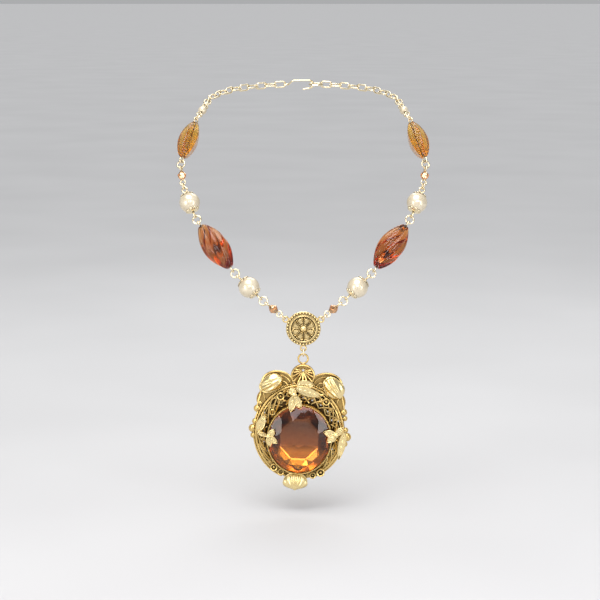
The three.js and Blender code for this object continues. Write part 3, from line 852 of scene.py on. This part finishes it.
def oval_path(oval, grow, height, steps=120, start=0.0, sweep=360.0):
    """Points on an oval, or on an arc of it, at one height."""
    closed = sweep == 360.0
    count = steps if closed else steps + 1
    return [(*oval_point(oval, start + sweep * i / steps, grow), height) for i in range(count)]


def band_point(degrees, share, height):
    """A point between the stone's bezel and the rim."""
    inner = Vector(oval_point(STONE_OVAL, degrees, 1.2))
    outer = Vector(oval_point(FRAME_OVAL, degrees, -1.2))
    x, y = inner.lerp(outer, share)
    return x, y, height


def lattice(shape):
    """Crossed and curled wires between the stone and the rim."""
    strands, steps = 24, 8
    for i in range(strands):
        at = 360 * i / strands
        for lean, height in ((13, 1.35), (-13, 1.75)):
            jitter = chance.uniform(-4, 4)
            path = []
            for k in range(steps + 1):
                share = k / steps
                path.append(band_point(at + jitter + lean * (share - 0.5) * 2, share,
                                       height + 0.25 * sin(pi * share)))
            shape.add(tube(path, 0.42, 6))
    for share, height in ((0.3, 1.5), (0.66, 1.6)):
        path = [band_point(3 * k, share + 0.07 * sin(0.8 * k), height) for k in range(120)]
        shape.add(tube(path, 0.3, 6, closed=True))
    curls, turns = 22, 22
    for i in range(curls):
        at = 360 * (i + 0.5) / curls + chance.uniform(-3, 3)
        x, y, _ = band_point(at, chance.uniform(0.4, 0.62), 0)
        size = chance.uniform(0.95, 1.35)
        spiral = []
        for k in range(turns):
            turn = radians(at + 24 * k)
            radius = size * (1 - 0.6 * k / (turns - 1))
            spiral.append((x + radius * cos(turn), y + radius * sin(turn), 2.0))
        shape.add(tube(spiral, 0.27, 6))


def cup(shape, x, y, radius, height, grain):
    """A small open setting: a ring wall, and a grain in it where there is one."""
    wall = lathe([(radius, 0), (radius, height), (radius * 0.86, height + 0.18), (radius * 0.68, height),
                  (radius * 0.6, height * 0.45), (0.01, height * 0.3), (0.01, 0)], 24, axis="Z")
    shape.add(wall, Matrix.Translation((x, y, PLATE)))
    if grain:
        shape.add(ball((x, y, PLATE + height * 0.7), grain))


def scroll(points, radius, height, steps=40):
    """A wire on the plate through a few points, thinner towards its ends."""
    route = [Vector((x, y, height)) for x, y in points]
    path = [curve_point(route, i / steps) for i in range(steps + 1)]
    return tube(path, lambda share: radius * (0.55 + 0.45 * max(0, sin(pi * share)) ** 0.5))


def plate(shape):
    """The pierced plate in two layers, its front one painted near black as shade between the lattice wires,
    and a round plate for each lobe.
    """
    holes = [[oval_point(STONE_OVAL, 4 * i, -1.5) for i in range(90)][::-1]]
    piercings = 48
    for i in range(piercings):
        at = 360 * (i + 0.5) / piercings
        x, y, _ = band_point(at, 0.5 + 0.22 * (-1) ** i, 0)
        room = (Vector(oval_point(FRAME_OVAL, at)) - Vector(oval_point(STONE_OVAL, at))).length
        if room > 5.5:
            holes.append(circle_points(x, y, 0.62 if i % 3 else 0.8, 10)[::-1])
    outline = [oval_point(FRAME_OVAL, 3 * i, 0.15) for i in range(120)]
    shape.add(slab(outline, holes, 0, PLATE / 2))
    # The front layer is near black: painted shade between the lattice wires.
    shape.add(slab(outline, holes, PLATE / 2, PLATE), look=1)
    hub_hole = circle_points(*TOP_LOBE["hub"], 0.7, 12)[::-1]
    top_outline = circle_points(*TOP_LOBE["middle"], TOP_LOBE["radius"], 48)
    shape.add(slab(top_outline, [hub_hole], 0.1, PLATE - 0.05), look=2)
    shape.add(slab(circle_points(*BOTTOM_LOBE, 40), [], 0.1, PLATE - 0.05), look=2)
    for side in (-1, 1):
        shape.add(slab(circle_points(side * 11.9, -14.2, 7.7, 48), [], 0.15, PLATE - 0.1), look=2)
        shape.add(slab(circle_points(side * 16.0, -20.5, 5.2, 40), [], 0.2, PLATE - 0.2), look=2)


def rim_wires(shape):
    """The rim's wires, and the eye that the pendant hangs by."""
    shape.add(tube(oval_path(FRAME_OVAL, -0.55, 1.5), 0.62, 10, closed=True))
    shape.add(tube(oval_path(FRAME_OVAL, -1.75, 1.7), 0.34, closed=True))
    shape.add(tube(oval_path(FRAME_OVAL, 0.55, 1.0, 60, 150, 100), 0.42))
    shape.add(tube(oval_path(FRAME_OVAL, 0.5, 1.0, 60, -70, 70), 0.4))
    eye = loop_path(PENDANT_EYE, "face", (0, 0, PLATE / 2), 270, 356, 40)
    shape.add(tube(eye, PENDANT_EYE["wire"] / 2, 12))


def gold_on_pendant(name, shape, materials, node, place, crease):
    piece(name, shape, materials, "pendant", [node], place, crease=crease)


def pendant_frame_piece(place):
    shape = Shape()
    plate(shape)
    rim_wires(shape)
    lattice(shape)
    fan_lobe(shape)
    shoulders(shape)
    for x, y, radius, height, grain in CUPS:
        cup(shape, x, y, radius, height, grain)
    for x, y, radius in KNOBS:
        shape.add(ball((x, y, 1.1), radius, 16, 10, 0.7))
        shape.add(hoop(x, y, radius + 0.1, 0.85, 0.28, 20, 6))
    materials = [ANTIQUE_GOLD, SHADE_PAINTED_GOLD, WORN_GOLD]
    gold_on_pendant("pendant_filigree", shape, materials, "pendant_frame", place, 40)


def fan_lobe(shape):
    """The round lobe under the eye: a fan of broad ribs under a small open ring, inside a raised rim."""
    middle, hub = Vector(TOP_LOBE["middle"]), Vector(TOP_LOBE["hub"])
    shape.add(hoop(*middle, 5.3, 1.2, 0.5, 48))
    ribs, steps = 11, 7
    start, lip = 1.2, 4.7
    for i in range(ribs):
        turn = radians(175 + 190 * i / (ribs - 1))
        heading = Vector((cos(turn), sin(turn)))
        across = (hub - middle).dot(heading)
        reach = -across + sqrt(across ** 2 - (hub - middle).length_squared + lip ** 2)
        path = []
        for k in range(steps + 1):
            at = hub + heading * (start + (reach - start) * k / steps)
            path.append((at.x, at.y, 1.2 + 0.25 * sin(pi * k / steps)))
        shape.add(tube(path, lambda share: 0.24 + 0.42 * share))
    shape.add(hoop(*hub, 0.95, 1.4, 0.3, 20))


def shoulders(shape):
    """Scrolled wires round each shoulder, and the roped line below them."""
    for side in (-1, 1):
        for radius, height, points in SHOULDER_SCROLLS:
            shape.add(scroll([(side * x, y) for x, y in points], radius, height))
    grains = 17
    for side in (-1, 1):
        for i in range(grains):
            x, y = oval_point(FRAME_OVAL, 90 - side * (6 + 33 * i / (grains - 1)), 0.5)
            shape.add(ball((x, y, 1.75), 0.42, 8, 6))


def stone_bezel(place):
    """A wall and a ledge round the stone, with a row of grains on its top edge."""
    shape = Shape()
    around = 120
    # How far each line of the wall's section stands outside the stone, and its height
    section = [(-1.2, ON_PLATE), (0.75, ON_PLATE), (0.75, BEZEL_TOP - 0.5), (0.55, BEZEL_TOP),
               (0.12, BEZEL_TOP), (0.12, ON_PLATE + 0.6), (-1.2, ON_PLATE + 0.6)]
    vertices = []
    for grow, height in section:
        vertices += oval_path(STONE_OVAL, grow, height, around)
    shape.add((vertices, grid_faces(len(section), around, closed_rows=True)))
    for grain in oval_path(STONE_OVAL, 0.38, BEZEL_TOP, 104):
        shape.add(ball(grain, 0.33, 8, 5))
    gold_on_pendant("stone_bezel_milgrain", shape, [ANTIQUE_GOLD], "stone_bezel", place, 40)


def stone(place):
    """An oval brilliant: a large table, star, kite and girdle facets above, and a low faceted back."""
    sides = 8
    turn = 90 + 180 / sides
    # Each row's count, turn in shares of a step, share of the oval, and height
    rows = {"table": (sides, 0, 0.62, STONE_TOP), "stars": (sides, 0.5, 0.83, 6.35),
            "girdle": (2 * sides, 0, 1.0, GIRDLE + 0.3), "rim": (2 * sides, 0, 1.0, GIRDLE),
            "belly": (sides, 0, 0.62, 2.5), "keel": (sides, 0.5, 0.25, 1.75)}
    vertices, first = [], {}
    for row, (count, shift, share, height) in rows.items():
        first[row] = len(vertices)
        oval = (STONE_OVAL[0] * share, STONE_OVAL[1] * share, STONE_OVAL[2])
        vertices += oval_path(oval, 0, height, count, turn + 360 / count * shift)

    def at(row, i):
        return first[row] + i % rows[row][0]

    faces = [[at("table", i) for i in range(sides)]]
    back = []
    for i in range(sides):
        faces += [[at("table", i + 1), at("table", i), at("stars", i)],
                  [at("table", i), at("stars", i - 1), at("girdle", 2 * i)],
                  [at("table", i), at("girdle", 2 * i), at("stars", i)],
                  [at("stars", i), at("girdle", 2 * i), at("girdle", 2 * i + 1)],
                  [at("stars", i), at("girdle", 2 * i + 1), at("girdle", 2 * i + 2)]]
        back += [[at("belly", i), at("rim", 2 * i + 1), at("rim", 2 * i)],
                 [at("belly", i), at("rim", 2 * i), at("rim", 2 * i - 1)],
                 [at("belly", i), at("belly", i + 1), at("rim", 2 * i + 1)],
                 [at("keel", i), at("belly", i + 1), at("belly", i)],
                 [at("belly", i), at("keel", i - 1), at("keel", i)]]
    back.append([at("keel", i) for i in range(sides)][::-1])
    for i in range(2 * sides):
        faces.append([at("girdle", i), at("rim", i), at("rim", i + 1), at("girdle", i + 1)])
    shape = Shape().add((vertices, faces + back))
    piece("centre_stone_cut", shape, [STONE], "pendant", ["centre_stone"], place, flat=True)
    # The foil under the back facets carries painted light and shade by height.
    sunk = [(x, y, z - 0.06) for x, y, z in vertices]
    leaf_of_foil = Shape().add((sunk, back))
    piece("centre_stone_foil", leaf_of_foil, [PAINTED_LIGHT_FOIL], "pendant", place=place, flat=True)


def leaf(shape, x, y, heading, length, width, lift=0.0):
    """A pointed leaf with a rolled edge, a midrib and veins, running from a point towards its heading."""
    rows, columns = 30, 15
    thickness, tip = 0.45, 0.02
    turn = Matrix.Translation((x, y, LEAF_LIFT + lift)) @ Matrix.Rotation(radians(heading), 4, "Z")

    def edge(share):
        return width / 2 * sin(pi * share ** 0.85) ** 0.8

    def height(share, across):
        veins = 0.1 * cos(34 * (share - 0.3 * abs(across)))
        arch = 0.3 * sin(pi * share) - 0.28 * (1 - abs(across)) ** 2
        midrib = 0.3 * exp(-((across / 0.14) ** 2))
        return thickness + arch + midrib + veins * (1 - across ** 2)

    top, bottom = [], []
    for i in range(rows + 1):
        share = i / rows
        for k in range(columns):
            across = 2 * k / (columns - 1) - 1
            half = edge(share) if 0 < i < rows else tip
            top.append((share * length, across * half, height(share, across)))
            bottom.append((share * length, across * half, height(share, across) - thickness))
    faces = grid_faces(rows + 1, columns, closed_columns=False)
    under = [[i + len(top) for i in face][::-1] for face in faces]
    shape.add((top + bottom, faces + under), turn)
    border = []
    for side, order in ((1, range(rows + 1)), (-1, range(rows, -1, -1))):
        for i in order:
            share = i / rows
            border.append((share * length, side * max(edge(share), tip), height(share, 1) - 0.05))
    shape.add(tube(border, 0.15, 6, closed=True), turn)


def spray(name, leaves, post, place, knob):
    """A few leaves round a berry, on a post that stands on the plate."""
    shape = Shape()
    for entry in leaves:
        leaf(shape, *entry)
    stem = [(*post, height) for height in (ON_PLATE, LEAF_LIFT * 0.6, LEAF_LIFT + 0.4)]
    shape.add(tube(stem, 0.55, 10))
    x, y = leaves[0][:2]
    shape.add(ball((x, y, LEAF_LIFT + 0.75), knob, 14, 10, 0.75))
    for petal_x, petal_y in circle_points(x, y, knob, 6):
        shape.add(ball((petal_x, petal_y, LEAF_LIFT + 0.5), knob * 0.5, 10, 6, 0.8))
    gold_on_pendant(f"{name}_veined", shape, [BRIGHT_GOLD], name, place, 60)


def shell(name, x, y, length, width, rise, heading, flutes, place, base, taper=0.65):
    """A fluted fan with its hinge at one end, a raised crown and a rolled lip."""
    rows, columns = 22, 41
    turn = Matrix.Translation((x, y, base)) @ Matrix.Rotation(radians(heading), 4, "Z")

    def surface(share, across):
        fan = sin(pi * min(1, share * 0.5 + 0.02)) ** taper
        rounding = sqrt(max(0.0, 1 - abs(across) ** 2.4))
        reach = share * (0.35 + 0.65 * rounding)
        dome = sin(pi * (0.08 + 0.84 * share) ** 0.9) ** 0.7
        ridge = 0.2 * cos(pi * flutes * across) * share
        height = rise * dome * (0.25 + 0.75 * rounding) * (1 + ridge)
        return Vector((reach * length - length * 0.45, across * fan * width / 2, height))

    vertices = [surface(i / (rows - 1), 2 * k / (columns - 1) - 1)
                for i in range(rows) for k in range(columns)]
    count = len(vertices)
    vertices += [Vector((v.x, v.y, 0.0)) for v in vertices]
    faces = grid_faces(rows, columns, closed_columns=False)
    under = [[i + count for i in face][::-1] for face in faces]
    edge = list(range(columns)) + [i * columns + columns - 1 for i in range(1, rows)]
    edge += [(rows - 1) * columns + k for k in range(columns - 2, -1, -1)]
    edge += [i * columns for i in range(rows - 2, 0, -1)]
    sides = [[a, a + count, b + count, b] for a, b in zip(edge, edge[1:] + edge[:1])]
    shape = Shape().add((vertices, faces + under + sides), turn)
    steps = 30
    lip = [surface(1.0, 2 * k / steps - 1) + Vector((0.15, 0, 0.1)) for k in range(steps + 1)]
    shape.add(tube(lip, lambda share: 0.2 + 0.35 * sin(pi * share)), turn)
    gold_on_pendant(f"{name}_fluted", shape, [BRIGHT_GOLD], name, place, 60)


def pendant():
    place = pendant_place()
    pendant_frame_piece(place)
    stone_bezel(place)
    stone(place)
    spray("top_leaf_spray", [
        (-3.6, -16.3, 262, 8.6, 3.5), (-3.6, -16.3, 299, 7.6, 3.4), (-3.6, -16.3, 114, 4.0, 2.8),
        (-3.0, -13.2, -16, 13.0, 4.2, -1.0), (-2.6, -11.6, 1, 8.4, 4.2, -1.6),
    ], (-3.0, -17.6), place, 1.0)
    spray("left_leaf_spray", [
        (-14.8, -37.3, 52, 4.4, 3.0), (-14.8, -37.3, -36, 5.4, 3.0), (-14.8, -37.3, -78, 5.0, 2.8),
        (-14.8, -37.3, 168, 5.6, 1.6, -1.2), (-20.1, -36.3, 72, 9.6, 3.8, -3.0),
    ], (-17.2, -36.7), place, 0.9)
    spray("right_leaf_spray", [
        (17.3, -35.1, 168, 6.0, 3.3), (17.3, -35.1, 224, 5.4, 3.2), (17.3, -35.1, 49, 5.0, 3.0),
        (21.6, -33.6, -99, 14.4, 3.4, -2.6),
    ], (18.2, -35), place, 1.0)
    shell("left_shell", -13.9, -11.9, 11.6, 8.2, 3.3, 212, 3, place, ON_PLATE)
    shell("right_shell", 15.7, -14.0, 11.6, 9.0, 3.3, 128, 4, place, ON_PLATE)
    shell("bottom_shell", -0.9, -60.4, 8.4, 11.8, 3.0, 90, 6, place, 2.35, 1.0)


def jump_ring():
    low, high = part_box("pendant_jump_ring")
    shape = Shape()
    add_ring(shape, PENDANT_RING, "edge", (0, 0, 0), turned=200)
    piece("pendant_jump_ring_wire", shape, [PALE_GOLD], "pendant_jump_ring", ["pendant_jump_ring"],
          place=facing_front((low + high) / 2))


# ---- Stage ----

def stage_material():
    material, tree, surface = new_material("pale_paper", {"Roughness": 0.85})
    tint = ramp(tree, noise(tree, 6, 2), [(0.3, (0.52, 0.52, 0.525)), (0.7, (0.55, 0.55, 0.555))])
    link(tree, tint, surface, "Base Color")
    return material


def stage():
    """A pale, level floor a little below the pendant, so wide that it reaches the horizon."""
    height = cad_box[0].z - 12 * MM
    half = 400  # metres
    corners = [(-half, -half, height), (half, -half, height), (half, half, height), (-half, half, height)]
    mesh = bpy.data.meshes.new("floor")
    mesh.from_pydata(corners, [], [(0, 1, 2, 3)])
    mesh.materials.append(stage_material())
    floor = new_object("floor", mesh)


def softbox(name, place, size, power, colour):
    """A rectangular lamp that lights the necklace and stays out of the picture."""
    light = bpy.data.lights.new(name, "AREA")
    light.shape = "RECTANGLE"
    light.size, light.size_y = (side * MM for side in size)
    light.energy = power
    light.color = colour
    lamp = new_object(name, light)
    lamp.location = Vector(place) * MM
    lamp.rotation_euler = (Vector(LIT_POINT) - Vector(place)).to_track_quat("-Z", "Y").to_euler()
    lamp.visible_camera = False


def overhead_light():
    """A broad, soft light from above, which also lights the floor far away."""
    light = bpy.data.lights.new("overhead", "SUN")
    light.energy = 1.8
    light.angle = radians(50)
    new_object("overhead", light).rotation_euler = (radians(12), radians(-8), 0)


def lights():
    for lamp in SOFTBOXES:
        softbox(*lamp)
    overhead_light()
    world = bpy.data.worlds.new("studio")
    world.use_nodes = True
    background = world.node_tree.nodes["Background"]
    background.inputs["Color"].default_value = (0.86, 0.87, 0.89, 1)
    background.inputs["Strength"].default_value = 0.48
    bpy.context.scene.world = world


def camera():
    data = bpy.data.cameras.new("camera")
    data.sensor_width = SENSOR
    data.lens = SENSOR / 2 / tan(radians(VIEW_ANGLE / 2))
    made = new_object("camera", data)
    made.location = Vector(CAMERA_AT) * MM
    made.rotation_euler = (radians(CAMERA_TILT), 0, 0)
    bpy.context.scene.camera = made
    bpy.context.scene.view_settings.view_transform = "Standard"


camera()
stage()
lights()
medallion()
jump_ring()
pendant()
for side in ("left", "right"):
    back_chain(side, arm(side))
dress("clasp_hook", PALE_GOLD)
dress("clasp_ring", PALE_GOLD)
